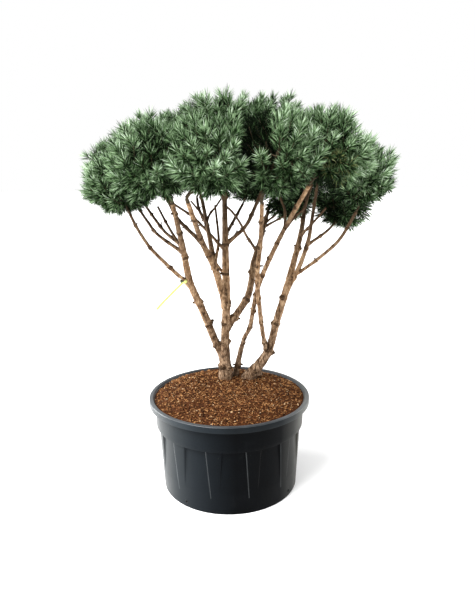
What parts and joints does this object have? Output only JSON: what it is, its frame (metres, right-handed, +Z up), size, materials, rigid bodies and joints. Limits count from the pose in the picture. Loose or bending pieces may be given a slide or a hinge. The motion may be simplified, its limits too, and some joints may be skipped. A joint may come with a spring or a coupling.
{
  "type": "potted pine",
  "caption": "Umbrella-shaped pine with several slender stems and a domed crown of blue-green needles, in a round black fluted nursery tub.",
  "frame": {"origin": "middle of the tub's flat underside", "axes": "+Z up, -Y is the front seen in the picture, +X to the right of it"},
  "size_m": [1.3989, 1.4025, 1.8941],
  "materials": {
    "tub": "satin black moulded plastic",
    "soil": "loose brown coir and bark",
    "bark": "scaly grey-brown to orange bark",
    "needles": "glaucous blue-green needles",
    "label": "plain yellow plastic strap"
  },
  "bodies": {
    "root": {"tub": "tub", "soil": "soil", "stem_middle": "bark", "stem_right": "bark", "stem_slim": "bark", "stem_left": "bark", "stem_back": "bark", "stem_front": "bark", "stem_pale": "bark", "bough_left_low": "bark", "bough_left": "bark", "bough_left_back": "bark", "bough_left_upper": "bark", "bough_back_middle": "bark", "bough_back": "bark", "bough_back_left": "bark", "bough_upper_right": "bark", "bough_back_right": "bark", "bough_right_upper": "bark", "bough_right": "bark", "bough_right_back": "bark", "foliage_left_low": "needles", "foliage_left": "needles", "foliage_left_back": "needles", "foliage_left_front": "needles", "foliage_left_upper": "needles", "foliage_back_left": "needles", "foliage_front": "needles", "foliage_back": "needles", "foliage_upper_back": "needles", "foliage_top": "needles", "foliage_back_right": "needles", "foliage_upper_right": "needles", "foliage_front_right": "needles", "foliage_far_back": "needles", "foliage_right_front": "needles", "foliage_right_upper": "needles", "foliage_right_back": "needles", "foliage_right": "needles", "foliage_right_low": "needles", "label": "label"}
  },
  "joints": []
}
